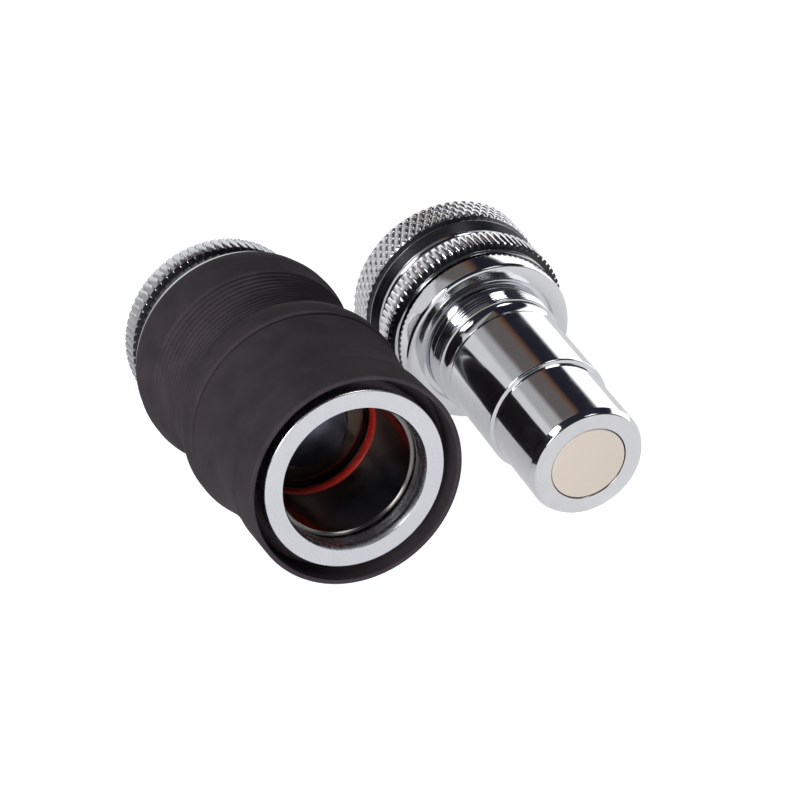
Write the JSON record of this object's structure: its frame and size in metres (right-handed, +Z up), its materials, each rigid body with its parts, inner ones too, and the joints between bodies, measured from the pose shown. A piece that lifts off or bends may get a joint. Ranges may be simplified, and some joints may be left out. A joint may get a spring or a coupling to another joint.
{
  "type": "quick disconnect coupler",
  "caption": "Screw-lock quick disconnect coupler for soft hose: a black-sleeved socket and a chrome plug, each shut off by a spring valve.",
  "frame": {"origin": "on the socket's axis, where its mating bore begins behind the lock ring", "axes": "-Y out of the socket's mouth, +Y towards its hose nut, +X towards the plug that lies beside it, +Z up from the surface that both halves lie on"},
  "size_m": [0.0493, 0.0426, 0.0236],
  "materials": {
    "black_anodised": "satin charcoal-black anodised, turned",
    "chrome": "mirror-bright chrome plate on turned brass",
    "dark_polished": "polished nickel plate",
    "spring_steel": "bright drawn wire",
    "red_silicone": "deep red silicone, slight gloss",
    "black_rubber": "black seal rubber",
    "champagne_face": "flat pale champagne, fine matte"
  },
  "bodies": {
    "socket": {"socket_body": "black_anodised", "socket_barrel": "chrome", "bore_seal": "red_silicone", "socket_stem": "dark_polished", "stem_seal": "black_rubber", "collar_retaining_ring": "spring_steel", "socket_spring": "spring_steel", "socket_hose_stem": "chrome", "socket_port_seal": "black_rubber"},
    "lock_collar": {"lock_sleeve": "black_anodised", "lock_ring": "chrome"},
    "socket_valve": {"socket_valve": "dark_polished", "socket_valve_seal": "black_rubber"},
    "socket_hose_nut": {"socket_hose_nut": "chrome"},
    "plug_carrier": {"plug_spring": "spring_steel"},
    "plug": {"plug_body": "chrome", "plug_valve_guide": "dark_polished", "guide_snap_ring": "spring_steel", "plug_hose_stem": "chrome", "plug_port_seal": "black_rubber"},
    "plug_valve": {"plug_valve": "chrome", "plug_valve_face": "champagne_face", "plug_valve_seal": "black_rubber"},
    "plug_hose_nut": {"plug_hose_nut": "chrome"}
  },
  "joints": [
    {"name": "lock_turn", "type": "hinge", "parent": "socket", "child": "lock_collar", "pos_m": [0, 0, 0], "axis": [0, 1, 0], "continuous": true},
    {"name": "socket_valve_slide", "type": "slide", "parent": "socket", "child": "socket_valve", "axis": [0, 1, 0], "range_m": [0, 0.01025], "stiffness_N_per_m": 300, "springref_m": -0.01, "deforming": ["socket_spring"]},
    {"name": "socket_nut_turn", "type": "hinge", "parent": "socket", "child": "socket_hose_nut", "pos_m": [0, 0.0336, 0], "axis": [0, 1, 0], "continuous": true},
    {"name": "plug_carry", "type": "hinge", "parent": "socket", "child": "plug_carrier", "pos_m": [0.01357, -0.00408, -0.00286], "axis": [-0.2278, 0.0726, -0.971], "range_deg": [0, 181.95]},
    {"name": "plug_insert", "type": "slide", "parent": "plug_carrier", "child": "plug", "axis": [0, -0.9889, -0.1488], "range_m": [0, 0.0285], "deforming": ["bore_seal"]},
    {"name": "plug_valve_slide", "type": "slide", "parent": "plug", "child": "plug_valve", "axis": [0, 0.9889, 0.1488], "range_m": [0, 0.01135], "stiffness_N_per_m": 300, "springref_m": -0.01, "deforming": ["plug_spring"]},
    {"name": "plug_nut_turn", "type": "hinge", "parent": "plug", "child": "plug_hose_nut", "pos_m": [0.027, 0.03432, -0.0006], "axis": [0, 0.9889, 0.1488], "continuous": true}
  ]
}
